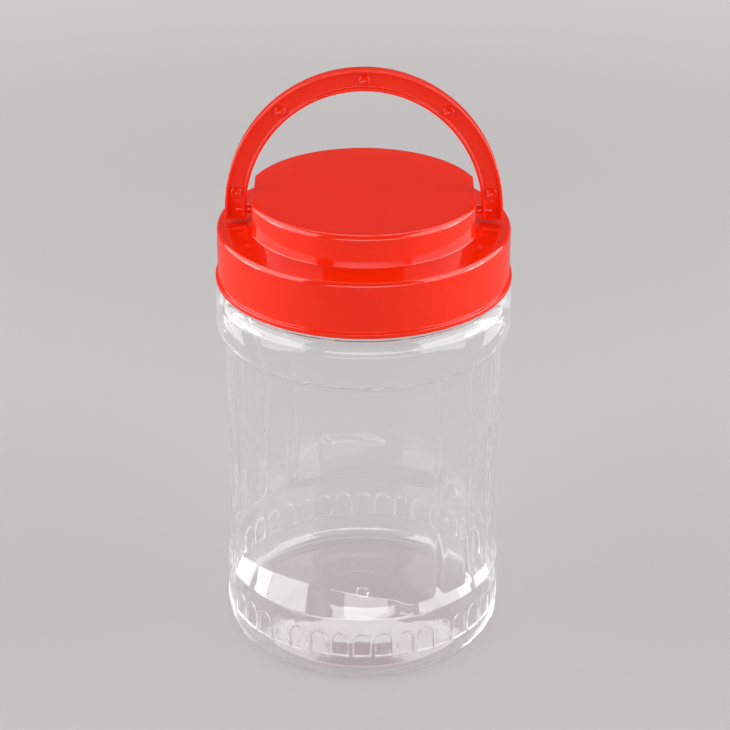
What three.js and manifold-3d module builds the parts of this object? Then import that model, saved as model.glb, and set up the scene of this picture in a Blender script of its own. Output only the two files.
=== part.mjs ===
// Wide-mouth storage jar with a screw lid and a folding carry handle.
// Millimetres, +Z up. The origin is the centre of the ring that the jar stands on, the handle's
// pivot runs along X, and the labelled front of the jar faces -Y.

import * as THREE from "three";
import { mergeVertices } from "three/addons/utils/BufferGeometryUtils.js";
import Module from "manifold-3d";

const wasm = await Module();
wasm.setup();

// Clearances between pieces
const faceGap = 0.3;
const crestGap = 0.4;
const pinPlay = 0.15;
const skirtLift = 1.4;
const cutOverrun = 4;

// Neck and its thread
const neckRadius = 54.6;
const neckWall = 2;
const neckHeight = 20.9;
const rimRound = 0.6;
const threadPitch = 6;
const threadDepth = 1.4;
const threadRootWidth = 2.6;
const threadCrestWidth = 1.2;
const threadTurns = 1.25;
const threadFootHeight = 7.6;
const threadSink = 0.8;

// Lid
const threadRelief = 1;
const skirtWall = 2;
const beadStand = 1;
const beadHeight = 2.4;
const beadRound = 0.8;
const skirtRound = 3.6;
const shelfThickness = 1.8;
const shelfRise = 0.9;
const seatWidth = 7;
const bossRadius = 46.9;
const bossHeight = 14.1;
const bossRound = 2.5;
const bossFootRound = 1.9;
const bossWall = 1.7;
const bossFlat = 44;
const bossCrown = 0.3;
const socketRadius = 4.2;
const socketDepth = 7.2;
const socketFloor = 1.4;
const linerThickness = 1;
const linerEdgeGap = 0.6;

// Carry handle
const legGap = 3;
const legWidth = 8.5;
const handleThickness = 5;
const gripReachGap = 3.5;
const gripDepth = 8.6;
const pivotRise = 5.9;
const legClearance = 2.1;
const rimWidth = 1.3;
const panelRecess = 1;
const pinRadius = 2;
const pinGrip = 6;
const markRadius = 2.3;
const markStand = 0.4;

// Jar body, measured inwards from the shoulder's radius and upwards from the standing ring
const jarWall = 1;
const standWidth = 4;
const standInset = 6.5;
const baseCornerHeight = 6;
const bandInset = 1.8;
const bandHeight = 29.5;
const bandRound = 1;
const pillarInsetTop = 3.4;
const pillarInsetBottom = 4;
const grooveDepth = 1.6;
const labelDepth = 3.1;
const labelCurveRadius = 62;
const shoulderBottomHeight = 137.4;
const shoulderWallHeight = 13.1;
const shoulderCurveHeight = 7.1;
const baseRise = 6;
const baseStep = 0.8;
const archWidth = 7.2;
const archHeight = 11;
const archFootHeight = 11.5;
const archDepth = 0.7;
const bandWallExtra = 0.5;

// Counts, angles and shares
const archCount = 40;
const pillarCount = 5;
const patternStart = THREE.MathUtils.degToRad(16.5);
const patternSpan = Math.PI / 2;
const grooveHalfAngle = THREE.MathUtils.degToRad(2.5);
const labelEdgeHalfAngle = THREE.MathUtils.degToRad(3.2);
const angleSlack = 1e-9;
const labelSteps = 8;
const ledgeSlopeShare = 0.44;
const stepSlopeShare = 2;
const wallLeanShare = 0.4;
const baseRingShares = [0.3, 0.33, 0.72, 0.76];
const markAngles = [8, 50, 90, 130, 172].map(THREE.MathUtils.degToRad);
const roundSteps = 3;
const lidSteps = 64;
const gripSteps = 32;
const pinSides = 14;
const archSides = 5;
const threadSteps = 40;
const threadFadeSteps = 4;

// Radii and heights that follow from the sizes above
const skirtInner = neckRadius + threadDepth + threadRelief;
const skirtRadius = skirtInner + skirtWall;
const beadRadius = skirtRadius + beadStand;
const shoulderRadius = beadRadius;
const bandRadius = shoulderRadius - bandInset;
const pillarRadiusTop = shoulderRadius - pillarInsetTop;
const pillarRadiusBottom = shoulderRadius - pillarInsetBottom;
const standRadius = shoulderRadius - standInset;
const shoulderWallTop = shoulderBottomHeight + shoulderWallHeight;
const neckFoot = shoulderWallTop + shoulderCurveHeight;
const neckTop = neckFoot + neckHeight;
const linerBottom = neckTop + faceGap;
const linerTop = linerBottom + linerThickness;
const seatHeight = linerTop + faceGap;
const shelfEdge = seatHeight + shelfThickness;
const skirtBottom = neckFoot + skirtLift;
const bossTop = shelfEdge + bossHeight;
const pivotHeight = shelfEdge + pivotRise;
const legInner = bossFlat + legGap;
const legOuter = legInner + legWidth;
const legDrop = pivotRise - legClearance;
const gripInnerRise = bossRadius + gripReachGap;
const gripOuterRise = gripInnerRise + gripDepth;

// Solids: a closed mesh of triangles, ready to be joined or cut
function solidOf(geometry) {
  const bare = geometry.index ? geometry.toNonIndexed() : geometry.clone();
  bare.deleteAttribute("normal");
  bare.deleteAttribute("uv");
  const merged = mergeVertices(bare);
  const mesh = new wasm.Mesh({
    numProp: 3,
    vertProperties: new Float32Array(merged.attributes.position.array),
    triVerts: new Uint32Array(merged.index.array),
  });
  return new wasm.Manifold(mesh);
}

function geometryOf(solid) {
  const mesh = solid.getMesh();
  const geometry = new THREE.BufferGeometry();
  geometry.setAttribute("position", new THREE.BufferAttribute(mesh.vertProperties, 3));
  geometry.setIndex(new THREE.BufferAttribute(mesh.triVerts, 1));
  geometry.computeVertexNormals();
  return geometry;
}

function geometryFrom(points, triangles) {
  const geometry = new THREE.BufferGeometry();
  const values = new Float32Array(points.flat());
  geometry.setAttribute("position", new THREE.BufferAttribute(values, 3));
  geometry.setIndex(triangles);
  return geometry;
}

// A closed solid round the Z axis. Each ring is a function from azimuth to [radius, height];
// the first and last rings are points on the axis, given as heights.
function ringedSolid(firstHeight, rings, lastHeight, azimuths) {
  const count = azimuths.length;
  const points = [[0, 0, firstHeight]];
  for (const ring of rings) {
    for (const azimuth of azimuths) {
      const [radius, height] = ring(azimuth);
      points.push([radius * Math.sin(azimuth), -radius * Math.cos(azimuth), height]);
    }
  }
  points.push([0, 0, lastHeight]);
  const last = points.length - 1;
  const triangles = [];
  for (let i = 0; i < count; i += 1) {
    const next = (i + 1) % count;
    triangles.push(0, 1 + next, 1 + i);
    for (let r = 0; r + 1 < rings.length; r += 1) {
      const low = 1 + r * count;
      const high = low + count;
      triangles.push(low + i, low + next, high + next);
      triangles.push(low + i, high + next, high + i);
    }
    const top = 1 + (rings.length - 1) * count;
    triangles.push(top + i, top + next, last);
  }
  return solidOf(geometryFrom(points, triangles));
}

function fixedRing(radius, height) {
  return () => [radius, height];
}

// Points of a quarter turn from [r0, z0] to [r1, z1]; flatFirst leaves the start along the radius
function quarter(r0, z0, r1, z1, flatFirst) {
  const points = [];
  for (let i = 0; i <= roundSteps; i += 1) {
    const turn = (i / roundSteps) * (Math.PI / 2);
    const soft = 1 - Math.cos(turn);
    const full = Math.sin(turn);
    const along = flatFirst ? full : soft;
    const up = flatFirst ? soft : full;
    points.push([r0 + (r1 - r0) * along, z0 + (z1 - z0) * up]);
  }
  return points;
}

// A raised helical ridge, rising with the angle, that fades into its wall at both ends
function threadRidge(wallRadius, crestRadius, footHeight) {
  const outward = Math.sign(crestRadius - wallRadius);
  const sunk = wallRadius - outward * threadSink;
  const steps = Math.round(threadTurns * threadSteps);
  const points = [];
  for (let i = 0; i <= steps; i += 1) {
    const angle = (i / threadSteps) * Math.PI * 2;
    const height = footHeight + (i / threadSteps) * threadPitch;
    const fade = Math.min(1, i / threadFadeSteps, (steps - i) / threadFadeSteps);
    const crest = sunk + (crestRadius - sunk) * Math.max(fade, threadSink / threadPitch);
    const section = [
      [sunk, -threadRootWidth / 2],
      [crest, -threadCrestWidth / 2],
      [crest, threadCrestWidth / 2],
      [sunk, threadRootWidth / 2],
    ];
    for (const [radius, offset] of section) {
      points.push([radius * Math.cos(angle), radius * Math.sin(angle), height + offset]);
    }
  }
  const triangles = [];
  const quad = (a, b, c, d) => {
    if (outward > 0) triangles.push(a, b, c, a, c, d);
    else triangles.push(a, c, b, a, d, c);
  };
  for (let i = 0; i < steps; i += 1) {
    for (let k = 0; k < 4; k += 1) {
      const m = (k + 1) % 4;
      quad(4 * i + k, 4 * i + 4 + k, 4 * i + 4 + m, 4 * i + m);
    }
  }
  quad(0, 1, 2, 3);
  const end = 4 * steps;
  quad(end + 3, end + 2, end + 1, end);
  return solidOf(geometryFrom(points, triangles));
}

function turned(profile) {
  const points = profile.map(([radius, height]) => new THREE.Vector2(radius, height));
  const geometry = new THREE.LatheGeometry(points, lidSteps);
  geometry.rotateX(Math.PI / 2);
  return solidOf(geometry);
}

function block(x0, y0, z0, x1, y1, z1) {
  const geometry = new THREE.BoxGeometry(x1 - x0, y1 - y0, z1 - z0);
  geometry.translate((x0 + x1) / 2, (y0 + y1) / 2, (z0 + z1) / 2);
  return solidOf(geometry);
}

// A round bar along X between two places, at the height of the handle's pivot
function pivotBar(radius, x0, x1) {
  const geometry = new THREE.CylinderGeometry(radius, radius, Math.abs(x1 - x0), pinSides);
  geometry.rotateZ(Math.PI / 2);
  geometry.translate((x0 + x1) / 2, 0, pivotHeight);
  return solidOf(geometry);
}

// Jar: how far the body is set in from its pillars at an azimuth, and the azimuths it needs
function labelInset(fromCentre) {
  const nearest = pillarRadiusTop - labelDepth;
  const behind = labelCurveRadius - nearest;
  const across = behind * Math.sin(fromCentre);
  const reach = Math.sqrt(labelCurveRadius ** 2 - across ** 2) - behind * Math.cos(fromCentre);
  return pillarRadiusTop - reach;
}

function bodyInset(azimuth) {
  const turn = (((azimuth - patternStart) % Math.PI) + Math.PI) % Math.PI;
  const edge = Math.min(Math.abs(turn - patternSpan), turn, Math.PI - turn);
  const halfLabel = (Math.PI - patternSpan) / 2;
  const fromCentre = Math.abs(turn - patternSpan - halfLabel);
  if (edge <= labelEdgeHalfAngle + angleSlack) {
    const inLabel = turn > patternSpan ? 1 : -1;
    const share = 0.5 + (inLabel * edge) / (2 * labelEdgeHalfAngle);
    return share * labelInset(halfLabel - labelEdgeHalfAngle);
  }
  if (turn > patternSpan) return labelInset(fromCentre);
  const pitch = patternSpan / pillarCount;
  const fromGroove = Math.abs(turn - Math.round(turn / pitch) * pitch);
  return grooveDepth * Math.max(0, 1 - fromGroove / grooveHalfAngle);
}

function jarAzimuths() {
  const list = [];
  const pitch = patternSpan / pillarCount;
  for (const half of [0, Math.PI]) {
    const start = patternStart + half;
    list.push(start + labelEdgeHalfAngle, start + pitch / 2);
    for (let k = 1; k < pillarCount; k += 1) {
      const groove = start + k * pitch;
      list.push(groove - grooveHalfAngle, groove, groove + grooveHalfAngle, groove + pitch / 2);
    }
    list.push(start + patternSpan - labelEdgeHalfAngle);
    const labelStart = start + patternSpan + labelEdgeHalfAngle;
    const labelSpan = Math.PI - patternSpan - 2 * labelEdgeHalfAngle;
    for (let k = 0; k <= labelSteps; k += 1) {
      list.push(labelStart + (k / labelSteps) * labelSpan);
    }
  }
  return list;
}

function jarRings() {
  const bodyBottom = (azimuth) => {
    const radius = pillarRadiusBottom - bodyInset(azimuth);
    return [radius, bandHeight + (bandRadius - radius) / ledgeSlopeShare];
  };
  const bodyTop = (azimuth) => {
    const radius = pillarRadiusTop - bodyInset(azimuth);
    return [radius, shoulderBottomHeight - (shoulderRadius - radius) / stepSlopeShare];
  };
  const inside = (ring, wall, lift) => (azimuth) => {
    const [radius, height] = ring(azimuth);
    return [radius - wall, height + lift];
  };
  const fixed = (list) => list.map(([radius, height]) => fixedRing(radius, height));
  const standInner = standRadius - standWidth;
  const ringRadii = baseRingShares.map((share) => share * standInner);
  const [r0, r1, r2, r3] = ringRadii;
  const under = [
    [r0, baseRise],
    [r1, baseRise - baseStep],
    [r2, baseRise - baseStep],
    [r3, baseRise - 2 * baseStep],
    [standInner, 0],
    [standRadius, 0],
  ];
  const corner = quarter(standRadius, 0, bandRadius, baseCornerHeight, true).slice(1);
  const bandEnd = [
    [bandRadius, bandHeight - bandRound],
    [bandRadius - bandRound * ledgeSlopeShare, bandHeight],
  ];
  const shoulder = quarter(shoulderRadius, shoulderWallTop, neckRadius, neckFoot, false);
  const lip = [
    [neckRadius, neckTop - rimRound],
    [neckRadius - rimRound, neckTop],
  ];
  const outer = [
    ...fixed(under),
    ...fixed(corner),
    ...fixed(bandEnd),
    bodyBottom,
    bodyTop,
    fixedRing(shoulderRadius, shoulderBottomHeight),
    ...fixed(shoulder),
    ...fixed(lip),
  ];

  const lean = jarWall * wallLeanShare;
  const bandWall = jarWall + bandWallExtra;
  const neckInner = neckRadius - neckWall;
  const shoulderInner = quarter(
    neckInner, neckFoot - neckWall, shoulderRadius - jarWall, shoulderWallTop - neckWall, true,
  );
  const cornerInner = quarter(
    bandRadius - bandWall, baseCornerHeight + jarWall, standRadius - jarWall, jarWall, false,
  );
  const floor = under.slice(0, -1).reverse().map(([radius, height]) => [radius, height + jarWall]);
  const inner = [
    ...fixed([[neckInner, neckTop]]),
    ...fixed(shoulderInner),
    fixedRing(shoulderRadius - jarWall, shoulderBottomHeight + lean),
    inside(bodyTop, jarWall, lean),
    inside(bodyBottom, jarWall, -lean),
    fixedRing(bandRadius - bandWall, bandHeight - bandRound - lean),
    ...fixed(cornerInner),
    ...fixed(floor),
  ];
  return [...outer, ...inner];
}

// One arch-topped pocket of the base band, as the solid that it takes out of the wall at -Y
function archCutter() {
  const half = archWidth / 2;
  const outline = new THREE.Shape();
  outline.moveTo(-half, 0);
  outline.lineTo(half, 0);
  outline.lineTo(half, archHeight - half);
  outline.absarc(0, archHeight - half, half, 0, Math.PI, false);
  const geometry = new THREE.ExtrudeGeometry(outline, {
    depth: archDepth + cutOverrun,
    bevelEnabled: false,
    curveSegments: archSides,
  });
  geometry.rotateX(Math.PI / 2);
  geometry.translate(0, -(bandRadius - archDepth), archFootHeight);
  return geometry;
}

function makeJar() {
  let solid = ringedSolid(baseRise, jarRings(), baseRise + jarWall, jarAzimuths());
  for (let i = 0; i < archCount; i += 1) {
    const cutter = archCutter();
    cutter.rotateZ((i / archCount) * Math.PI * 2);
    solid = solid.subtract(solidOf(cutter));
  }
  const ridge = threadRidge(neckRadius, neckRadius + threadDepth, neckFoot + threadFootHeight);
  return geometryOf(solid.add(ridge));
}

// Lid: skirt with a bead, a shelf, and a round boss with two flats that carry the pivot sockets
function makeLid() {
  const bead = quarter(
    beadRadius, skirtBottom + beadHeight - beadRound, skirtRadius, skirtBottom + beadHeight, false,
  );
  const skirtTop = quarter(
    skirtRadius, shelfEdge - skirtRound, skirtRadius - skirtRound, shelfEdge, false,
  );
  const shelfFoot = shelfEdge + shelfRise;
  const foot = quarter(
    bossRadius + bossFootRound, shelfFoot, bossRadius, shelfFoot + bossFootRound, true,
  );
  const crown = quarter(bossRadius, bossTop - bossRound, bossRadius - bossRound, bossTop, false);
  const beadFoot = beadRadius - beadRound;
  const outside = turned([
    [0, skirtBottom],
    [beadFoot, skirtBottom],
    [beadRadius, skirtBottom + beadRound],
    ...bead,
    ...skirtTop,
    ...foot,
    ...crown,
    [0, bossTop + bossCrown],
  ]);
  const flatCut = block(
    bossFlat, -bossRadius, shelfFoot, legOuter + cutOverrun, bossRadius, bossTop + cutOverrun,
  );
  const hollow = turned([
    [0, skirtBottom - cutOverrun],
    [skirtInner, skirtBottom - cutOverrun],
    [skirtInner, seatHeight],
    [0, seatHeight],
  ]);
  const cavityRadius = bossRadius - bossWall;
  const cavity = turned([
    [0, seatHeight - faceGap],
    [skirtInner - seatWidth, seatHeight - faceGap],
    [cavityRadius, shelfFoot - shelfThickness + shelfRise],
    [cavityRadius, bossTop - bossRound],
    [cavityRadius - bossRound + bossWall, bossTop - bossWall],
    [0, bossTop - bossWall],
  ]);
  const cavityFlat = bossFlat - bossWall;
  const between = block(
    -cavityFlat, -bossRadius, seatHeight - cutOverrun, cavityFlat, bossRadius, bossTop,
  );
  const mirror = [-1, 1];
  let solid = outside;
  for (const side of mirror) {
    solid = solid.subtract(side > 0 ? flatCut : flatCut.mirror([1, 0, 0]));
  }
  solid = solid.subtract(hollow).subtract(cavity.intersect(between));
  for (const side of mirror) {
    const wallMiddle = side * (bossFlat - bossWall / 2);
    const back = side * (bossFlat - socketDepth - socketFloor);
    solid = solid.add(pivotBar(socketRadius, back, wallMiddle));
  }
  for (const side of mirror) {
    const floorPlace = side * (bossFlat - socketDepth);
    const open = side * (bossFlat + cutOverrun);
    solid = solid.subtract(pivotBar(pinRadius + pinPlay, floorPlace, open));
  }
  const ridgeDrop = (threadRootWidth + threadCrestWidth) / 2 + faceGap;
  const ridge = threadRidge(
    skirtInner, neckRadius + crestGap, neckFoot + threadFootHeight - ridgeDrop,
  );
  return geometryOf(solid.add(ridge));
}

// Liner: a flat foam disc between the neck's rim and the underside of the lid
function makeLiner() {
  const radius = skirtInner - linerEdgeGap;
  return geometryOf(turned([
    [0, linerBottom],
    [radius, linerBottom],
    [radius, linerTop],
    [0, linerTop],
  ]));
}

// Handle: a half-oval bow with straight feet, recessed between rims on both faces
function bowOutline(inset) {
  const outerX = legOuter - inset;
  const innerX = legInner + inset;
  const outline = new THREE.Shape();
  outline.moveTo(outerX, -legDrop + inset);
  for (let i = 0; i <= gripSteps; i += 1) {
    const angle = (i / gripSteps) * Math.PI;
    outline.lineTo(outerX * Math.cos(angle), (gripOuterRise - inset) * Math.sin(angle));
  }
  outline.lineTo(-outerX, -legDrop + inset);
  outline.lineTo(-innerX, -legDrop + inset);
  for (let i = 0; i <= gripSteps; i += 1) {
    const angle = Math.PI - (i / gripSteps) * Math.PI;
    outline.lineTo(innerX * Math.cos(angle), (gripInnerRise + inset) * Math.sin(angle));
  }
  outline.lineTo(innerX, -legDrop + inset);
  return outline;
}

function bowSlab(inset, y0, y1) {
  const geometry = new THREE.ExtrudeGeometry(bowOutline(inset), {
    depth: y1 - y0,
    bevelEnabled: false,
  });
  geometry.rotateX(Math.PI / 2);
  geometry.translate(0, y1, pivotHeight);
  return solidOf(geometry);
}

function makeHandle() {
  const face = handleThickness / 2;
  const floor = face - panelRecess;
  let solid = bowSlab(0, -face, face);
  solid = solid.subtract(bowSlab(rimWidth, -face - cutOverrun, -floor));
  solid = solid.subtract(bowSlab(rimWidth, floor, face + cutOverrun));
  const middleX = (legInner + legOuter) / 2;
  const middleRise = (gripInnerRise + gripOuterRise) / 2;
  for (const angle of markAngles) {
    const mark = new THREE.CylinderGeometry(markRadius, markRadius, floor + markStand, pinSides);
    mark.translate(
      middleX * Math.cos(angle), -(floor + markStand) / 2, pivotHeight + middleRise * Math.sin(angle),
    );
    solid = solid.add(solidOf(mark));
  }
  for (const side of [-1, 1]) {
    solid = solid.add(pivotBar(pinRadius, side * middleX, side * (bossFlat - pinGrip)));
  }
  return geometryOf(solid);
}

// Materials, one for each finish
const clearPlastic = new THREE.MeshStandardMaterial({
  color: 0xdfe3e4, roughness: 0.08, metalness: 0, transparent: true, opacity: 0.35,
});
const redPlastic = new THREE.MeshStandardMaterial({
  color: 0xe7260f, roughness: 0.3, metalness: 0,
});
const whiteFoam = new THREE.MeshStandardMaterial({
  color: 0xf2f1ed, roughness: 0.8, metalness: 0,
});

function named(name, geometry, material) {
  const mesh = new THREE.Mesh(geometry, material);
  mesh.name = name;
  return mesh;
}

const container = new THREE.Group();
container.add(
  named("jar", makeJar(), clearPlastic),
  named("lid_liner", makeLiner(), whiteFoam),
  named("screw_lid", makeLid(), redPlastic),
  named("carry_handle", makeHandle(), redPlastic),
);

export default container;
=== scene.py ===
import math

import bmesh
import bpy
import numpy as np
from mathutils import Matrix


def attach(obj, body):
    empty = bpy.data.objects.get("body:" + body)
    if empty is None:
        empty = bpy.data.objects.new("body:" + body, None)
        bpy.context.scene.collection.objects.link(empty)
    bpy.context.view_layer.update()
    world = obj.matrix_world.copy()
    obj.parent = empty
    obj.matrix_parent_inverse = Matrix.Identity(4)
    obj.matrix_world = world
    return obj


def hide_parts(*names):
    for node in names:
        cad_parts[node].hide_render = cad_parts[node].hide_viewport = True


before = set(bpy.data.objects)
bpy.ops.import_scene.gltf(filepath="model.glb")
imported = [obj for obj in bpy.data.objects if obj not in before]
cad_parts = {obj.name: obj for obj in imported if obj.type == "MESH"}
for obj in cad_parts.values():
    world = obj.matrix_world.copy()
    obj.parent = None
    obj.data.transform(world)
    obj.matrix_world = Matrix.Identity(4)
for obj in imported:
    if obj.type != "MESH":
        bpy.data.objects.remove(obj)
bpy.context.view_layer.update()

# ---------------------------------------------------------------- sizes, in millimetres
MM = 0.001

# Jar
SHOULDER_RADIUS = 60.0
NECK_RADIUS, NECK_WALL = 54.6, 2.0
NECK_FOOT, NECK_TOP = 157.6, 178.5
SHOULDER_WALL_TOP, SHOULDER_BOTTOM = 150.5, 137.4
PILLAR_TOP, PILLAR_BOTTOM = 56.6, 56.0
GROOVE_DEPTH, LABEL_DEPTH, LABEL_CURVE = 1.6, 3.1, 62.0
BAND_RADIUS, BAND_TOP, BAND_EDGE = 58.2, 29.5, 0.6
LEDGE_SLOPE, STEP_SLOPE, BODY_MIDDLE = 0.44, 2.0, 85.0
CORNER_HEIGHT = 6.0
STAND_OUTER, STAND_INNER = 53.5, 49.5
BASE_RISE, BASE_STEP = 6.0, 0.8
# Rings of the base as shares of its inner radius, and where each low step starts and how long it is
DOME_SHARES = (0.97, 0.9, 0.82, 0.78, 0.74, 0.7, 0.6, 0.45, 0.37, 0.34, 0.31, 0.2, 0.1)
STEP_STARTS, STEP_LENGTHS = (0.82, 0.37), (0.12, 0.06)
NUB_RADIUS, NUB_DROP = 2.6, 1.7
# Thinner than the solid's wall of 1 mm, for the look of the clear plastic
BODY_WALL, BASE_WALL = 0.55, 0.9
ARCH_COUNT, ARCH_HALF, ARCH_FOOT, ARCH_HEIGHT, ARCH_DEPTH = 40, 3.6, 11.5, 11.0, 0.7
CELL_BOTTOM, CELL_TOP = 9.6, 24.6
PATTERN_START, PATTERN_SPAN, PILLARS = 16.5, 90.0, 5
GROOVE_HALF, LABEL_EDGE_HALF = 3.0, 3.2
THREAD_PITCH, THREAD_TURNS, THREAD_DEPTH = 6.0, 1.25, 1.4
THREAD_ROOT_HALF, THREAD_CREST_HALF, THREAD_FOOT = 1.05, 0.6, 165.2
THREAD_FADE = 30
NECK_ROWS_TOP, NECK_ROWS_BOTTOM, NECK_ROW_STEP = 174.6, 163.4, 0.6

# Lid
SKIRT_INNER, SKIRT_RADIUS, BEAD_RADIUS = 57.0, 59.0, 60.0
SKIRT_BOTTOM, BEAD_HEIGHT, BEAD_ROUND = 159.0, 2.4, 0.8
LID_THREAD_FOOT, CREST_GAP = 163.0, 0.4
LID_ROWS_BOTTOM, LID_ROWS_TOP, LID_ROW_STEP = 161.4, 171.4, 0.45
SHELF_EDGE, SHELF_FOOT = 181.9, 182.8
SEAT_HEIGHT, SEAT_INNER = 180.1, 50.0
BOSS_RADIUS, BOSS_TOP, BOSS_CROWN, BOSS_FLAT = 46.9, 196.0, 0.3, 44.0
BOSS_ROUND, BOSS_FOOT_ROUND, BOSS_WALL = 1.9, 0.6, 1.7
FLAT_ROUND = 0.5
PIVOT_HEIGHT = 187.8
SOCKET_RADIUS, SOCKET_BORE, SOCKET_DEPTH, SOCKET_FLOOR = 4.2, 2.15, 7.2, 1.4
# Higher marks than these show the light above the back as a white dash
BULGE_PLACE, BULGE_LONG, BULGE_WIDE, BULGE_HEIGHT = 38.6, 3.2, 2.1, 0.16

# Liner
LINER_RADIUS, LINER_BOTTOM, LINER_TOP = 56.4, 178.8, 179.8

# Handle
LEG_INNER, LEG_OUTER, LEG_DROP = 47.0, 55.5, 3.8
GRIP_INNER, GRIP_OUTER = 50.4, 59.0
HANDLE_HALF, RIM_WIDTH, PANEL_RECESS = 2.5, 1.3, 1.0
PIN_RADIUS, PIN_END = 2.0, 38.0
MARK_ANGLES = (8, 50, 90, 130, 172)
MARK_RADIUS, MARK_STAND = 2.3, 0.9
SOCKET_SIDES, PIN_SIDES, MARK_SIDES = 48, 40, 36

# Points round the jar and lid, and how they are drawn towards the grooves, in degrees
AROUND = 360
AZIMUTHS = np.radians(np.arange(AROUND) + 0.5)
BUNCH_REACH, BUNCH = 9.0, 0.4


# ---------------------------------------------------------------- mesh tools
def row(radius, height):
    """One ring of an object turned round the Z axis: its radius and height at every azimuth."""
    return np.broadcast_to(radius, AROUND) + 0.0, np.broadcast_to(height, AROUND) + 0.0


def softened(corners, steps=5):
    """Rings along a path of (radius, height, softness) corners; a curve cuts each soft corner."""
    ends = [np.stack(row(r, z)) for r, z, _ in corners]
    rings = []
    for i, (_, _, soft) in enumerate(corners):
        if not np.any(soft) or i in (0, len(corners) - 1):
            rings.append(ends[i])
            continue
        near, far = ends[i - 1] - ends[i], ends[i + 1] - ends[i]
        near = near / np.linalg.norm(near, axis=0) * soft
        far = far / np.linalg.norm(far, axis=0) * soft
        for share in np.linspace(0, 1, steps + 1):
            rings.append(ends[i] + near * (1 - share) ** 2 + far * share**2)
    return rings


def walled(rings, walls):
    """The rings of a wall's other face: each ring moved inwards, across the path, by its wall."""
    path = np.stack(rings)
    ahead = np.concatenate([path[1:] - path[:-1], path[-1:] - path[-2:-1]])
    back = np.concatenate([path[1:2] - path[:1], path[1:] - path[:-1]])
    along = ahead / np.linalg.norm(ahead, axis=1, keepdims=True)
    along = along + back / np.linalg.norm(back, axis=1, keepdims=True)
    along = along / np.linalg.norm(along, axis=1, keepdims=True)
    across = np.stack([-along[:, 1], along[:, 0]], axis=1)
    return list(path - across * np.asarray(walls).reshape(-1, 1, 1))


def on_round(radius, azimuth, height):
    """Points in the jar's frame: azimuth 0 is the front, -Y, and it grows towards +X."""
    return np.stack([radius * np.sin(azimuth), -radius * np.cos(azimuth), height + 0 * azimuth], -1)


class Shell:
    """Points in millimetres and the faces between them, until they become one mesh."""

    def __init__(self):
        self.points, self.faces = [], []

    def put(self, points):
        start = len(self.points)
        self.points += [tuple(p) for p in np.asarray(points, float).reshape(-1, 3)]
        return start

    def strip(self, low, high, count, closed=True):
        """Faces between two rows of points that start at low and high."""
        for i in range(count if closed else count - 1):
            j = (i + 1) % count
            self.faces.append((low + i, low + j, high + j, high + i))

    def rings(self, rings, azimuths=AZIMUTHS):
        """Turned rings, one after another; returns where the first and last start."""
        starts = [self.put(on_round(r, azimuths, z)) for r, z in rings]
        for a, b in zip(starts, starts[1:]):
            self.strip(a, b, AROUND)
        return starts[0], starts[-1]

    def close(self, start, count, point):
        """A fan from a row of points to one more point."""
        tip = self.put([point])
        for i in range(count):
            self.faces.append((start + i, start + (i + 1) % count, tip))

    def add(self, other):
        start = self.put(other.points)
        self.faces += [tuple(start + i for i in face) for face in other.faces]


def piece(name, shell, sharp=40.0, weld=0.004):
    """One closed mesh from a shell, smooth but for edges that turn more than sharp degrees."""
    mesh = bpy.data.meshes.new(name)
    mesh.from_pydata([tuple(c * MM for c in p) for p in shell.points], [], shell.faces)
    obj = bpy.data.objects.new(name, mesh)
    bpy.context.scene.collection.objects.link(obj)
    tidy(obj, sharp, weld)
    return obj


def tidy(obj, sharp, weld):
    """Welds points, turns the faces outwards and marks the sharp edges."""
    work = bmesh.new()
    work.from_mesh(obj.data)
    bmesh.ops.remove_doubles(work, verts=work.verts, dist=weld * MM)
    bmesh.ops.dissolve_degenerate(work, edges=work.edges, dist=weld * MM * 0.5)
    bmesh.ops.recalc_face_normals(work, faces=work.faces)
    for face in work.faces:
        face.smooth = True
    for edge in work.edges:
        turn = edge.calc_face_angle(0)
        edge.smooth = turn < math.radians(sharp)
    work.to_mesh(obj.data)
    work.free()
    obj.data.update()


def carve(obj, tool, operation):
    """Joins a tool mesh to an object or takes it out, and applies the result."""
    step = obj.modifiers.new(operation, "BOOLEAN")
    step.operation, step.object, step.solver = operation, tool, "EXACT"
    depsgraph = bpy.context.evaluated_depsgraph_get()
    result = bpy.data.meshes.new_from_object(obj.evaluated_get(depsgraph))
    obj.modifiers.clear()
    obj.data = result
    bpy.data.objects.remove(tool)


# ---------------------------------------------------------------- jar
def label_inset(from_centre):
    """How far a label panel lies in from the pillars, at an angle from the panel's middle."""
    behind = LABEL_CURVE - (PILLAR_TOP - LABEL_DEPTH)
    across = behind * np.sin(from_centre)
    return PILLAR_TOP - (np.sqrt(LABEL_CURVE**2 - across**2) - behind * np.cos(from_centre))


def body_inset(azimuths):
    """How far the body lies in from the pillars' faces: grooves, and two label panels."""
    turn = np.degrees(azimuths) - PATTERN_START
    turn = turn % 180
    edge = np.minimum(np.minimum(turn, 180 - turn), abs(turn - PATTERN_SPAN))
    half_label = (180 - PATTERN_SPAN) / 2
    from_centre = abs(turn - PATTERN_SPAN - half_label)
    inset = label_inset(np.radians(from_centre))
    pitch = PATTERN_SPAN / PILLARS
    from_groove = abs(turn - np.round(turn / pitch) * pitch)
    groove = 0.5 + 0.5 * np.cos(math.pi * np.clip(from_groove / GROOVE_HALF, 0, 1))
    on_pillars = turn < PATTERN_SPAN
    inset = np.where(on_pillars, GROOVE_DEPTH * groove, inset)
    share = 0.5 + np.where(on_pillars, -1, 1) * edge / (2 * LABEL_EDGE_HALF)
    share = share * share * (3 - 2 * share) * 0.5 + share * 0.5
    near = share * label_inset(np.radians(half_label - LABEL_EDGE_HALF))
    return np.where(edge <= LABEL_EDGE_HALF, near, inset)


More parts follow.
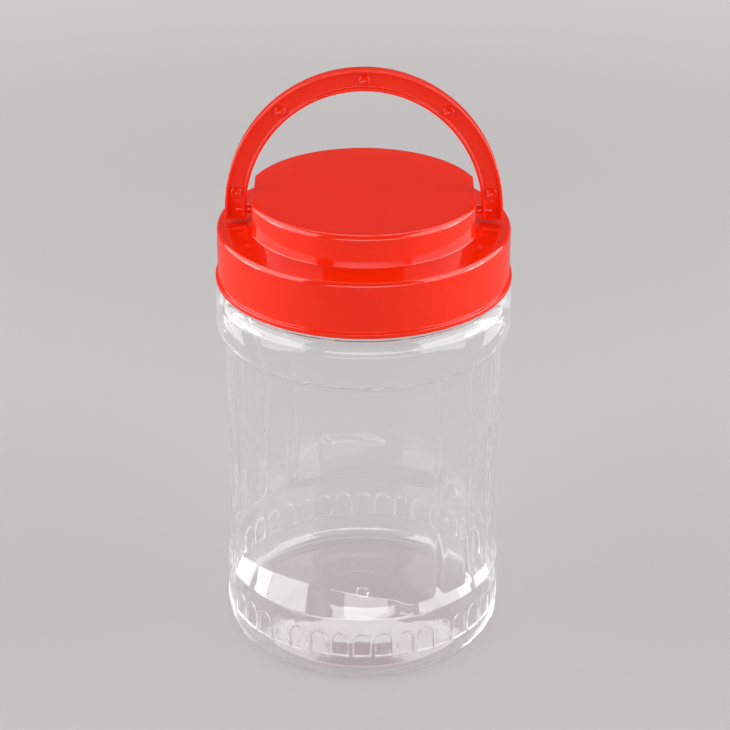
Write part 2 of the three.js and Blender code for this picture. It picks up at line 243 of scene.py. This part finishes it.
def thread_rise(azimuths, height, depth, foot):
    """How far a helical ridge stands out at a height; it fades at both ends."""
    from_x = (azimuths - math.pi / 2) % (2 * math.pi)
    best = np.zeros(AROUND)
    for lap in range(2):
        angle = from_x + lap * 2 * math.pi
        middle = foot + angle / (2 * math.pi) * THREAD_PITCH
        flank = (THREAD_ROOT_HALF - abs(height - middle)) / (THREAD_ROOT_HALF - THREAD_CREST_HALF)
        fade = np.minimum(angle, THREAD_TURNS * 2 * math.pi - angle) / math.radians(THREAD_FADE)
        best = np.maximum(best, np.clip(flank, 0, 1) * np.clip(fade, 0, 1))
    return depth * best


def bunched_azimuths():
    """The azimuths, drawn towards the body's grooves and edges, where its surface turns fastest."""
    turn = (np.degrees(AZIMUTHS) - PATTERN_START) % 180
    pitch = PATTERN_SPAN / PILLARS
    lines = np.where(turn < PATTERN_SPAN + pitch / 2, np.round(turn / pitch) * pitch, 180)
    away = turn - lines
    share = np.minimum(abs(away) / BUNCH_REACH, 1)
    return AZIMUTHS - np.radians(away * (1 - BUNCH) * (1 - share**2))


def jar_upper(azimuths, threaded):
    """Rings from the rim down to the band of arches, and the wall behind each."""
    inset = body_inset(azimuths)
    top, bottom = PILLAR_TOP - inset, PILLAR_BOTTOM - inset
    step = SHOULDER_BOTTOM - (SHOULDER_RADIUS - top) / STEP_SLOPE
    ledge = BAND_TOP + (BAND_RADIUS - bottom) / LEDGE_SLOPE
    rim = softened([
        (NECK_RADIUS - NECK_WALL / 2, NECK_TOP, 0),
        (NECK_RADIUS, NECK_TOP, 0.6),
        (NECK_RADIUS, NECK_TOP - 2, 0),
    ])
    walls = [NECK_WALL] * len(rim)
    neck = []
    if threaded:
        for height in np.arange(NECK_ROWS_TOP, NECK_ROWS_BOTTOM, -NECK_ROW_STEP):
            rise = thread_rise(azimuths, height, THREAD_DEPTH, THREAD_FOOT)
            neck.append(np.stack(row(NECK_RADIUS + rise, height)))
    walls += [NECK_WALL] * len(neck)
    swing = np.radians(np.linspace(72, 9, 8))
    reach = SHOULDER_RADIUS - NECK_RADIUS
    rise = NECK_FOOT - SHOULDER_WALL_TOP
    curve = [(NECK_RADIUS + reach * math.cos(a), SHOULDER_WALL_TOP + rise * math.sin(a), 0)
             for a in swing]
    lower = softened([
        (NECK_RADIUS, NECK_FOOT + 2.5, 0),
        (NECK_RADIUS, NECK_FOOT, 1.0),
        *curve,
        (SHOULDER_RADIUS, SHOULDER_WALL_TOP, 0),
        (SHOULDER_RADIUS, SHOULDER_BOTTOM, 1.7),
        (top, step, 1.5),
        (top, step - 4, 0),
        (0.5 * (top + bottom), BODY_MIDDLE, 0),
        (bottom, ledge + 6, 0),
        (bottom, ledge, 0.6),
        (BAND_RADIUS, BAND_TOP, BAND_EDGE),
        (BAND_RADIUS, CELL_TOP, 0),
    ])
    for _, height in lower:
        share = np.clip((height.mean() - SHOULDER_WALL_TOP) / (NECK_FOOT - SHOULDER_WALL_TOP), 0, 1)
        walls.append(BODY_WALL + (NECK_WALL - BODY_WALL) * share)
    return rim + neck + lower, walls


def jar_lower():
    """Rings from under the arches, round the standing ring and up to the base's middle."""
    swing = np.radians(np.linspace(0, 81, 13))
    corner = [(STAND_OUTER + (BAND_RADIUS - STAND_OUTER) * math.cos(a),
               CORNER_HEIGHT * (1 - math.sin(a)), 0) for a in swing]
    dome = []
    for share in DOME_SHARES:
        outer_step, inner_step = (np.clip((start - share) / length, 0, 1)
                                  for start, length in zip(STEP_STARTS, STEP_LENGTHS))
        step = BASE_STEP * 0.5 * (outer_step + inner_step)
        dome.append((share * STAND_INNER, (BASE_RISE - BASE_STEP) * (1 - share**2) + step, 0))
    rings = softened([
        (BAND_RADIUS, CELL_BOTTOM, 0),
        *corner,
        (STAND_OUTER, 0.0, 0),
        (STAND_INNER, 0.0, 0.6),
        *dome,
        (NUB_RADIUS + 0.4, BASE_RISE, 0.3),
        (NUB_RADIUS, BASE_RISE - NUB_DROP, 0.5),
        (0.4, BASE_RISE - NUB_DROP, 0),
    ], 4)
    walls = []
    for radius, height in rings:
        share = np.clip((CELL_BOTTOM - height.mean()) / CORNER_HEIGHT, 0, 1)
        walls.append(BODY_WALL + (BASE_WALL - BODY_WALL) * share)
    return rings, walls


def arch_outline(grow, segments=9, sides=6):
    """An arch-topped outline from its lower left corner, grown by grow: points across and up."""
    half, foot = ARCH_HALF + grow, ARCH_FOOT - grow
    spring = ARCH_FOOT + ARCH_HEIGHT - ARCH_HALF
    points = [(-half + 2 * half * k / segments, foot) for k in range(segments)]
    points += [(half, foot + (spring - foot) * k / sides) for k in range(sides)]
    turns = [math.pi * k / segments for k in range(segments)]
    points += [(half * math.cos(turn), spring + half * math.sin(turn)) for turn in turns]
    points += [(-half, spring - (spring - foot) * k / sides) for k in range(sides)]
    return points


def cell_border(segments=9, sides=6):
    """The border of one arch's share of the band, with the outline's count of points."""
    half = math.radians(180 / ARCH_COUNT) * BAND_RADIUS
    tall = CELL_TOP - CELL_BOTTOM
    points = [(-half + 2 * half * k / segments, CELL_BOTTOM) for k in range(segments)]
    points += [(half, CELL_BOTTOM + tall * k / sides) for k in range(sides)]
    points += [(half - 2 * half * k / segments, CELL_TOP) for k in range(segments)]
    points += [(-half, CELL_TOP - tall * k / sides) for k in range(sides)]
    return points


def arch_band(shell, radius):
    """The band's row of arch-shaped pockets on a face of the given radius."""
    middle = ARCH_FOOT + ARCH_HEIGHT / 2
    shrunk = arch_outline(-0.75)
    loops = [
        (cell_border(), 0), (arch_outline(0.45), 0), (arch_outline(0.2), 0.06),
        (arch_outline(0.0), 0.3), (arch_outline(-0.2), 0.58), (arch_outline(-0.45), ARCH_DEPTH),
        (shrunk, ARCH_DEPTH),
        ([(0.55 * x, middle + 0.7 * (z - middle)) for x, z in shrunk], ARCH_DEPTH),
    ]
    for k in range(ARCH_COUNT):
        centre = 2 * math.pi * k / ARCH_COUNT
        starts = []
        for points, depth in loops:
            across = np.array([x for x, _ in points]) / BAND_RADIUS + centre
            height = np.array([z for _, z in points])
            starts.append(shell.put(on_round(radius - depth, across, height)))
        count = len(loops[0][0])
        for a, b in zip(starts, starts[1:]):
            shell.strip(a, b, count)
        shell.close(starts[-1], count, on_round(radius - ARCH_DEPTH, np.array(centre), middle))


def make_jar():
    """The blown jar: outer and inner face from the rim down, the base, and the arches between."""
    shell = Shell()
    azimuths = bunched_azimuths()
    outer, _ = jar_upper(azimuths, True)
    plain, walls = jar_upper(azimuths, False)
    bore = NECK_RADIUS - NECK_WALL
    inner = softened([(bore + 1, NECK_TOP, 0), (bore, NECK_TOP, 0.5), (bore, NECK_TOP - 2, 0)])[1:]
    inner += [ring for ring in walled(plain, walls) if ring[1].mean() < NECK_FOOT + 1]
    first_outer, last_outer = shell.rings(outer[:-1], azimuths)
    first_inner, last_inner = shell.rings(inner[:-1], azimuths)
    shell.strip(first_outer, first_inner, AROUND)
    shell.strip(last_outer, shell.rings(outer[-1:])[0], AROUND)
    shell.strip(last_inner, shell.rings(inner[-1:])[0], AROUND)
    low_outer, low_walls = jar_lower()
    low_inner = walled(low_outer, low_walls)
    _, last = shell.rings(low_outer)
    shell.close(last, AROUND, (0, 0, low_outer[-1][1][0]))
    _, last = shell.rings(low_inner)
    shell.close(last, AROUND, (0, 0, low_inner[-1][1][0]))
    arch_band(shell, BAND_RADIUS)
    arch_band(shell, BAND_RADIUS - BODY_WALL)
    return piece("clear_jar", shell)


# ---------------------------------------------------------------- lid
def boss_edge(radius, flat):
    """A round outline with two flats across X, as a radius at every azimuth."""
    return np.minimum(radius, flat / np.maximum(abs(np.sin(AZIMUTHS)), 1e-3))


def make_lid():
    """The screw lid: outside, thread and hollow in one shell, then the two pin sockets."""
    boss = boss_edge(BOSS_RADIUS, BOSS_FLAT)
    on_flat = np.clip((BOSS_RADIUS - boss) / 0.4, 0, 1)
    top_round = BOSS_ROUND + (FLAT_ROUND - BOSS_ROUND) * on_flat
    foot_round = BOSS_FOOT_ROUND + (FLAT_ROUND - BOSS_FOOT_ROUND) * on_flat
    top = []
    for share in (0.05, 0.25, 0.5, 0.7, *np.linspace(0.76, 1, 16)[:-1]):
        radius = share * (boss - 3.0)
        top.append((radius, BOSS_TOP + BOSS_CROWN * (1 - share**2) + socket_bulge(radius), 0))
    outside = softened([
        *top,
        (boss - 2.8, BOSS_TOP, 0),
        (boss, BOSS_TOP, top_round),
        (boss, SHELF_FOOT, foot_round),
        (SKIRT_RADIUS - 0.7, SHELF_EDGE + 0.05, 0.5),
        (SKIRT_RADIUS, SHELF_EDGE - 0.9, 1.0),
        (SKIRT_RADIUS, SKIRT_BOTTOM + BEAD_HEIGHT, 0.35),
        (BEAD_RADIUS, SKIRT_BOTTOM + BEAD_HEIGHT - 0.25, 0.4),
        (BEAD_RADIUS, SKIRT_BOTTOM, BEAD_ROUND),
        (SKIRT_INNER, SKIRT_BOTTOM, 0.5),
        (SKIRT_INNER, SKIRT_BOTTOM + 2, 0),
    ])
    thread = []
    for height in np.arange(LID_ROWS_BOTTOM, LID_ROWS_TOP, LID_ROW_STEP):
        rise = thread_rise(AZIMUTHS, height, SKIRT_INNER - NECK_RADIUS - CREST_GAP, LID_THREAD_FOOT)
        thread.append(np.stack(row(SKIRT_INNER - rise, height)))
    hollow = boss_edge(BOSS_RADIUS - BOSS_WALL, BOSS_FLAT - BOSS_WALL)
    inside = softened([
        (SKIRT_INNER, SEAT_HEIGHT - 2, 0),
        (SKIRT_INNER, SEAT_HEIGHT, 0.4),
        (SEAT_INNER, SEAT_HEIGHT, 0.4),
        (hollow, SHELF_EDGE, 0.6),
        (hollow, BOSS_TOP - BOSS_WALL, 1.2),
        (20, BOSS_TOP - BOSS_WALL, 0),
        (2, BOSS_TOP - BOSS_WALL, 0),
    ])
    shell = Shell()
    first, last = shell.rings(outside + thread + inside)
    shell.close(first, AROUND, (0, 0, BOSS_TOP + BOSS_CROWN))
    shell.close(last, AROUND, (0, 0, BOSS_TOP - BOSS_WALL))
    lid = piece("red_screw_lid", shell)
    tubes, bores = Shell(), Shell()
    for side in (-1, 1):
        back = BOSS_FLAT - SOCKET_DEPTH - SOCKET_FLOOR
        front = BOSS_FLAT - BOSS_WALL / 2
        tubes.add(cross_bar(SOCKET_RADIUS, side * back, side * front, SOCKET_SIDES))
        bottom, past = BOSS_FLAT - SOCKET_DEPTH, BOSS_FLAT + 1
        bores.add(cross_bar(SOCKET_BORE, side * bottom, side * past, SOCKET_SIDES))
    carve(lid, piece("tubes", tubes), "UNION")
    carve(lid, piece("bores", bores), "DIFFERENCE")
    tidy(lid, 40.0, 0.002)
    return lid


def socket_bulge(radius):
    """The low marks on the boss, over the two pin sockets."""
    across, along = radius * np.sin(AZIMUTHS), radius * np.cos(AZIMUTHS)
    far = ((abs(across) - BULGE_PLACE) / BULGE_LONG) ** 4 + (along / BULGE_WIDE) ** 2
    return BULGE_HEIGHT * np.exp(-far)


def cross_bar(radius, x0, x1, sides, soft=0.0):
    """A round bar along X at the handle's pivot."""
    bar = Shell()
    angles = np.linspace(0, 2 * math.pi, sides, endpoint=False)
    ends = [(x0, radius), (x1, radius)]
    if soft:
        toward = math.copysign(soft, x1 - x0)
        ends = [(x0, radius), (x1 - toward, radius), (x1 - toward * 0.3, radius - soft * 0.3),
                (x1, radius - soft)]
    starts = []
    for x, reach in ends:
        ring = [(x, reach * math.cos(a), PIVOT_HEIGHT + reach * math.sin(a)) for a in angles]
        starts.append(bar.put(ring))
    for a, b in zip(starts, starts[1:]):
        bar.strip(a, b, sides)
    bar.close(starts[0], sides, (x0, 0, PIVOT_HEIGHT))
    bar.close(starts[-1], sides, (x1, 0, PIVOT_HEIGHT))
    return bar


def make_liner():
    """The flat foam disc between the neck's rim and the lid."""
    shell = Shell()
    first, last = shell.rings(softened([
        (1.0, LINER_BOTTOM, 0),
        (LINER_RADIUS, LINER_BOTTOM, 0.3),
        (LINER_RADIUS, LINER_TOP, 0.3),
        (1.0, LINER_TOP, 0),
    ], 3))
    shell.close(first, AROUND, (0, 0, LINER_BOTTOM))
    shell.close(last, AROUND, (0, 0, LINER_TOP))
    return piece("foam_liner", shell)


# ---------------------------------------------------------------- handle
def handle_section(recess, trim):
    """The closed outline of the handle's section: across from its inner side, and front to back."""
    wide = LEG_OUTER - LEG_INNER
    quarter = [
        (wide - trim, -HANDLE_HALF + trim, 0.45),
        (wide - RIM_WIDTH, -HANDLE_HALF + trim, 0.3),
        (wide - RIM_WIDTH - 0.15, -HANDLE_HALF + recess + trim * (recess == 0), 0.3),
        (RIM_WIDTH + 0.15, -HANDLE_HALF + recess + trim * (recess == 0), 0.3),
        (RIM_WIDTH, -HANDLE_HALF + trim, 0.3),
        (trim, -HANDLE_HALF + trim, 0.45),
    ]
    corners = quarter + [(x, -y, soft) for x, y, soft in reversed(quarter)]
    outline = []
    for i, (x, y, soft) in enumerate(corners):
        here = np.array([x, y])
        near = np.array(corners[i - 1][:2]) - here
        far = np.array(corners[(i + 1) % len(corners)][:2]) - here
        near, far = (v / max(np.linalg.norm(v), 1e-6) * min(soft, np.linalg.norm(v) * 0.45)
                     for v in (near, far))
        for share in np.linspace(0, 1, 4):
            outline.append(here + near * (1 - share) ** 2 + far * share**2)
    return np.array(outline)


def on_handle(angle, drop, across):
    """A point of the handle's plane: across is 0 at its inner side and 1 at its outer side."""
    reach = LEG_INNER + (LEG_OUTER - LEG_INNER) * across
    rise = GRIP_INNER + (GRIP_OUTER - GRIP_INNER) * across
    return reach * math.cos(angle), PIVOT_HEIGHT + rise * math.sin(angle) - drop


def make_handle():
    """The recessed bow from foot to foot, its round marks and its two stub pins."""
    end = LEG_DROP
    feet = [(end, 0, 0.4), (end - 0.12, 0, 0.12), (end - 0.4, 0, 0), (end - RIM_WIDTH + 0.1, 0, 0),
            (end - RIM_WIDTH - 0.2, PANEL_RECESS, 0), (1.0, PANEL_RECESS, 0)]
    stations = [(0.0, *foot) for foot in feet]
    stations += [(angle, 0.0, PANEL_RECESS, 0) for angle in np.linspace(0, math.pi, 121)]
    stations += [(math.pi, *foot) for foot in reversed(feet)]
    shell = Shell()
    wide = LEG_OUTER - LEG_INNER
    starts = []
    for angle, drop, recess, trim in stations:
        outline = handle_section(recess, trim)
        ring = []
        for across, deep in outline:
            x, z = on_handle(angle, drop, across / wide)
            ring.append((x, deep, z))
        starts.append(shell.put(ring))
    count = len(outline)
    for a, b in zip(starts, starts[1:]):
        shell.strip(a, b, count)
    shell.faces.append(tuple(range(starts[0], starts[0] + count)))
    shell.faces.append(tuple(range(starts[-1], starts[-1] + count)))
    for angle in MARK_ANGLES:
        shell.add(handle_mark(math.radians(angle)))
    middle = (LEG_INNER + LEG_OUTER) / 2
    for side in (-1, 1):
        shell.add(cross_bar(PIN_RADIUS, side * middle, side * PIN_END, PIN_SIDES, 0.5))
    return piece("red_carry_handle", shell, 35.0, 0.002)


def handle_mark(angle):
    """A round ejector mark with a raised rim, on the front face of the handle."""
    x, z = on_handle(angle, 0.0, 0.5)
    floor = -HANDLE_HALF + PANEL_RECESS
    mark = Shell()
    turns = np.linspace(0, 2 * math.pi, MARK_SIDES, endpoint=False)
    profile = [(1.0, -0.3), (1.0, 0.3), (0.95, 0.85), (0.86, 1.0), (0.76, 0.9), (0.4, 0.4),
               (0.15, 0.2)]
    profile = [(MARK_RADIUS * share, floor - MARK_STAND * height) for share, height in profile]
    starts = []
    for radius, y in profile:
        ring = [(x + radius * math.cos(t), y, z + radius * math.sin(t)) for t in turns]
        starts.append(mark.put(ring))
    for a, b in zip(starts, starts[1:]):
        mark.strip(a, b, len(turns))
    mark.close(starts[0], len(turns), (x, profile[0][1], z))
    mark.close(starts[-1], len(turns), (x, profile[-1][1], z))
    return mark


# ---------------------------------------------------------------- finishes
class Wire:
    """A shader socket that can be used in sums: each operator adds its Math node."""

    def __init__(self, finish, socket):
        self.finish, self.socket = finish, socket

    def _sum(self, operation, first, second):
        return self.finish.node("ShaderNodeMath", {"operation": operation}, {0: first, 1: second})

    def __add__(self, other): return self._sum("ADD", self, other)
    def __radd__(self, other): return self._sum("ADD", other, self)
    def __sub__(self, other): return self._sum("SUBTRACT", self, other)
    def __rsub__(self, other): return self._sum("SUBTRACT", other, self)
    def __mul__(self, other): return self._sum("MULTIPLY", self, other)
    def __rmul__(self, other): return self._sum("MULTIPLY", other, self)


class Finish:
    """The nodes of a material, a lamp or the world."""

    def __init__(self, owner):
        self.owner = owner
        owner.use_nodes = True
        self.tree = owner.node_tree
        self.tree.nodes.clear()

    def node(self, kind, settings=None, sockets=None, out=0):
        """Adds a node: its settings first, then the values and links of its sockets."""
        made = self.tree.nodes.new(kind)
        for key, value in (settings or {}).items():
            setattr(made, key, value)
        for key, value in (sockets or {}).items():
            if isinstance(value, Wire):
                self.tree.links.new(value.socket, made.inputs[key])
            else:
                made.inputs[key].default_value = value
        return Wire(self, made.outputs[out])

    def place(self):
        """The object's own coordinates, in metres."""
        return self.node("ShaderNodeTexCoord", out="Object")

    def stretched(self, stretch):
        """The object's own coordinates, each multiplied by its own number."""
        return self.node("ShaderNodeVectorMath", {"operation": "MULTIPLY"},
                         {0: self.place(), 1: stretch})

    def noise(self, scale, detail=2.0, stretch=None):
        """Smooth noise over the object, with about scale waves to a metre."""
        where = self.stretched(stretch) if stretch else self.place()
        return self.node("ShaderNodeTexNoise", {"noise_dimensions": "3D"},
                         {"Vector": where, "Scale": scale, "Detail": detail, "Roughness": 0.5},
                         "Fac")

    def ramp(self, value, low, high, to_low=0.0, to_high=1.0):
        """A smooth step: to_low up to low, and to_high from high onwards."""
        return self.node("ShaderNodeMapRange", {"interpolation_type": "SMOOTHSTEP"},
                         {"Value": value, "From Min": low, "From Max": high, "To Min": to_low,
                          "To Max": to_high})

    def blend(self, share, first, second):
        """A colour between two colours."""
        made = self.tree.nodes.new("ShaderNodeMix")
        made.data_type = "RGBA"
        for key, value in ((0, share), (6, first), (7, second)):
            if isinstance(value, Wire):
                self.tree.links.new(value.socket, made.inputs[key])
            else:
                made.inputs[key].default_value = value
        return Wire(self, made.outputs[2])

    def bump(self, height, distance, strength=1.0):
        return self.node("ShaderNodeBump", {},
                         {"Height": height, "Distance": distance, "Strength": strength})

    def less(self, value, limit):
        return self.node("ShaderNodeMath", {"operation": "LESS_THAN"}, {0: value, 1: limit})

    def light_path(self, name):
        return self.node("ShaderNodeLightPath", out=name)

    def mix(self, share, first, second):
        return self.node("ShaderNodeMixShader", {}, {0: share, 1: first, 2: second})

    def done(self, surface, kind="ShaderNodeOutputMaterial"):
        output = self.tree.nodes.new(kind)
        self.tree.links.new(surface.socket, output.inputs["Surface"])
        return self.owner


def new_finish(name):
    return Finish(bpy.data.materials.new(name))


DEEP_RED = (0.790, 0.0150, 0.0006, 1)
LIGHT_RED = (0.850, 0.0200, 0.0010, 1)


def red_moulding(name, scuffs):
    """Glossy moulded red plastic: faint orange peel, flow marks and hairline scratches."""
    f = new_finish(name)
    broad = f.noise(38, 2.0)
    fine = f.noise(900, 2.0)
    streak = f.noise(60, 3.0, stretch=(1.0, 1.0, 14.0))
    colour = f.blend(broad * 0.5 + streak * 0.5, DEEP_RED, LIGHT_RED)
    hair = f.node("ShaderNodeTexVoronoi", {"feature": "DISTANCE_TO_EDGE"},
                  {"Vector": f.stretched((1.0, 0.22, 1.0)), "Scale": 120.0}, "Distance")
    scratch = f.ramp(hair, 0.0, 0.018, 1.0, 0.0) * f.ramp(f.noise(45, 1.0), 0.56, 0.66)
    rough = f.ramp(broad, 0.3, 0.7, 0.06, 0.09) + scratch * scuffs + fine * 0.03
    height = broad * 0.25 + fine * 0.012 - scratch * 0.02
    surface = f.node("ShaderNodeBsdfPrincipled", {}, {
        "Base Color": colour, "Roughness": rough, "IOR": 1.6, "Specular IOR Level": 0.5,
        "Normal": f.bump(height, 0.00010, 0.4)})
    return f.done(surface)


def clear_blown_plastic():
    """Clear blown plastic: a smooth thin wall with slow waves, and hardly any colour."""
    f = new_finish("clear blown plastic")
    waves = f.noise(26, 1.5, stretch=(1.0, 1.0, 0.45))
    ripple = f.noise(150, 1.0)
    wall = f.node("ShaderNodeBsdfPrincipled", {}, {
        "Base Color": (0.985, 0.99, 0.99, 1), "Roughness": 0.0, "IOR": 1.56,
        "Transmission Weight": 1.0,
        "Normal": f.bump(waves + ripple * 0.05, 0.0006, 1.0)})
    passing = f.node("ShaderNodeBsdfTransparent", {}, {"Color": (0.95, 0.952, 0.955, 1)})
    lamp_side = f.mix(f.light_path("Is Shadow Ray"), wall, passing)
    return f.done(f.mix(f.light_path("Is Diffuse Ray"), lamp_side, passing))


def foam():
    """White closed-cell foam sheet."""
    f = new_finish("white foam sheet")
    cells = f.node("ShaderNodeTexVoronoi", {"feature": "F1"},
                   {"Vector": f.place(), "Scale": 1400.0}, "Distance")
    soft = f.noise(90, 2.0)
    colour = f.blend(soft, (0.80, 0.79, 0.76, 1), (0.90, 0.89, 0.87, 1))
    surface = f.node("ShaderNodeBsdfPrincipled", {}, {
        "Base Color": colour, "Roughness": f.ramp(cells, 0.0, 0.8, 0.7, 0.85), "IOR": 1.4,
        "Normal": f.bump(cells, 0.0002, 0.6)})
    return f.done(surface)


# The stage: colours, and distances from the jar's axis in metres
BACKDROP = (0.630, 0.606, 0.604, 1)
FLOOR_COLOUR = (0.470, 0.451, 0.455, 1)
FADE_START, FADE_END = 0.35, 0.98
# Painted light: a pink pool painted on the floor under the jar, for the red light that the lid
# throws down, and where it fades out
PAINTED_LID_LIGHT = (0.435, 0.365, 0.370, 1)
PAINTED_LIGHT_START, PAINTED_LIGHT_END = 0.046, 0.064
TABLE_EDGE, EDGE_WIDTH, DULL_FLOOR = 0.20, 0.02, 0.5
ROOM_COLOUR, ROOM_LIGHT = (1.0, 0.985, 0.985, 1), 0.15
FLOOR_HEIGHT, FLOOR_RINGS, FLOOR_SIDES = -0.02, (400, 1500, 6000, 30000), 96


def studio_floor():
    """Pale matt sheet, with painted red light under the jar; far from the jar it shows the
    backdrop's even colour.

    Mirror-like reflections in the jar pass through it beyond the table's edge, so that they show
    the light panels, and rough reflections see it dimmer.
    """
    f = new_finish("pale matt sheet")
    cloud = f.noise(3.0, 2.0)
    far = f.node("ShaderNodeVectorMath", {"operation": "LENGTH"}, {0: f.place()}, "Value")
    # Painted light: the pink pool painted under the jar, for the lid's red light
    painted_light = f.ramp(far, PAINTED_LIGHT_START, PAINTED_LIGHT_END, 1.0, 0.0)
    surface = f.node("ShaderNodeBsdfPrincipled", {}, {
        "Base Color": f.blend(painted_light, FLOOR_COLOUR, PAINTED_LID_LIGHT),
        "Roughness": f.ramp(cloud, 0.3, 0.7, 0.60, 0.68), "IOR": 1.5, "Specular IOR Level": 0.2})
    even = f.node("ShaderNodeEmission", {}, {"Color": BACKDROP, "Strength": 1.0})
    dark = f.node("ShaderNodeEmission", {}, {"Color": (0, 0, 0, 1), "Strength": 0.0})
    gone = f.node("ShaderNodeBsdfTransparent")
    seen = f.light_path("Is Camera Ray") + f.light_path("Is Transmission Ray")
    clear_cut = f.light_path("Is Singular Ray")
    turned = 1 - f.less(f.light_path("Glossy Depth"), 0.5)
    shaded = f.mix(f.light_path("Is Glossy Ray") * (1 - clear_cut) * DULL_FLOOR, surface, dark)
    beyond = f.mix(f.ramp(far, FADE_START, FADE_END) * seen, shaded, even)
    past_edge = f.ramp(far, TABLE_EDGE, TABLE_EDGE + EDGE_WIDTH)
    return f.done(f.mix(past_edge * clear_cut * turned, beyond, gone))


# ---------------------------------------------------------------- stage, light and camera
def build_stage():
    """The floor, and a world that lights the part softly and is seen as the pale backdrop."""
    shell = Shell()
    turns = np.linspace(0, 2 * math.pi, FLOOR_SIDES, endpoint=False)
    starts = [shell.put([(r * math.cos(t), r * math.sin(t), FLOOR_HEIGHT) for t in turns])
              for r in FLOOR_RINGS]
    for a, b in zip(starts, starts[1:]):
        shell.strip(a, b, len(turns))
    shell.close(starts[0], len(turns), (0, 0, FLOOR_HEIGHT))
    floor = piece("floor", shell)
    floor.data.materials.append(studio_floor())
    f = Finish(bpy.data.worlds.new("studio"))
    bpy.context.scene.world = f.owner
    room = f.node("ShaderNodeBackground", {}, {"Color": ROOM_COLOUR, "Strength": ROOM_LIGHT})
    pale = f.node("ShaderNodeBackground", {}, {"Color": BACKDROP})
    seen = (f.light_path("Is Camera Ray") + f.light_path("Is Transmission Ray")
            + f.light_path("Is Singular Ray"))
    f.done(f.mix(seen, room, pale), "ShaderNodeOutputWorld")


def soft_panel(name, centre, wide, tall, radiance, facing=0, tip=0, roll=0):
    """A soft panel of light that the camera doesn't see.

    centre is in metres, facing is the azimuth that the panel faces, tip how far it leans down and
    roll how far it's turned in its own plane, in degrees.
    """
    lamp = bpy.data.lights.new(name, "AREA")
    lamp.shape, lamp.size, lamp.size_y = "RECTANGLE", wide, tall
    lamp.energy = radiance * math.pi * wide * tall
    obj = bpy.data.objects.new(name, lamp)
    obj.matrix_world = (Matrix.Translation(centre) @ Matrix.Rotation(math.radians(facing), 4, "Z")
                        @ Matrix.Rotation(math.radians(90 - tip), 4, "X")
                        @ Matrix.Rotation(math.radians(roll), 4, "Z"))
    obj.visible_camera = False
    bpy.context.scene.collection.objects.link(obj)
    return obj


SIDE_LIGHT = 2.9


def build_lights():
    """Four panels at each side, a strip and a window in front, and one above the back.

    None of the side panels stands straight behind the jar, seen from the other side, but the middle
    ones, which light that leaves the jar doesn't meet.
    """
    for side, word, facing in ((-1, "left", -90), (1, "right", 90)):
        soft_panel(word + " panel", (side, -0.17, 0.92), wide=1.66, tall=1.36,
                   radiance=SIDE_LIGHT, facing=facing)
        soft_panel(word + " lower panel", (side, -0.58, 0.13), wide=0.84, tall=0.22,
                   radiance=SIDE_LIGHT, facing=facing, roll=-8 * side)
        soft_panel(word + " back panel", (side, 0.45, 0.03), wide=0.58, tall=0.42,
                   radiance=SIDE_LIGHT, facing=facing)
        filler = soft_panel(word + " middle panel", (side, 0.0, 0.12), wide=0.34, tall=0.26,
                            radiance=8.0, facing=facing)
        filler.visible_transmission = False
    soft_panel("front strip", (0.30, -1.70, 0.22), wide=2.4, tall=0.24, radiance=4.0)
    soft_panel("front window", (0.08, -1.70, 0.46), wide=1.05, tall=0.2, radiance=2.0)
    soft_panel("top panel", (0.0, 0.80, 1.05), wide=1.2, tall=0.42, radiance=2.7,
               facing=180, tip=52)


# The photograph's camera: side and focal length in pixels, place in metres, turns in degrees
PHOTO_SIDE, FOCAL_LENGTH, SENSOR = 730, 2200, 36.0
CAMERA_PLACE, CAMERA_TILT, CAMERA_ROLL = (0.0007, -0.8120, 0.5331), 27.1, 0.25


def build_camera():
    lens = bpy.data.cameras.new("photo camera")
    lens.sensor_width, lens.lens = SENSOR, FOCAL_LENGTH / PHOTO_SIDE * SENSOR
    lens.clip_start, lens.clip_end = 0.05, 60.0
    camera = bpy.data.objects.new("photo camera", lens)
    camera.matrix_world = (Matrix.Translation(CAMERA_PLACE)
                           @ Matrix.Rotation(math.radians(90 - CAMERA_TILT), 4, "X")
                           @ Matrix.Rotation(math.radians(CAMERA_ROLL), 4, "Z"))
    bpy.context.scene.collection.objects.link(camera)
    bpy.context.scene.camera = camera


# ---------------------------------------------------------------- the object, dressed
def dress(obj, material, node, body):
    """Gives a piece its finish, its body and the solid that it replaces."""
    obj.data.materials.clear()
    obj.data.materials.append(material)
    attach(obj, body)
    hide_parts(node)


dress(make_jar(), clear_blown_plastic(), "jar", "jar")
dress(make_liner(), foam(), "lid_liner", "liner")
dress(make_lid(), red_moulding("red lid plastic", 0.10), "screw_lid", "lid")
dress(make_handle(), red_moulding("red handle plastic", 0.06), "carry_handle", "handle")
build_stage()
build_lights()
build_camera()
bpy.context.scene.view_settings.view_transform = "Standard"
# Light crosses the clear wall many times, and fewer bounces than these leave dark lines in it
BOUNCES = 256
light_paths = bpy.context.scene.cycles
light_paths.max_bounces = BOUNCES
light_paths.transmission_bounces = BOUNCES
light_paths.glossy_bounces = BOUNCES
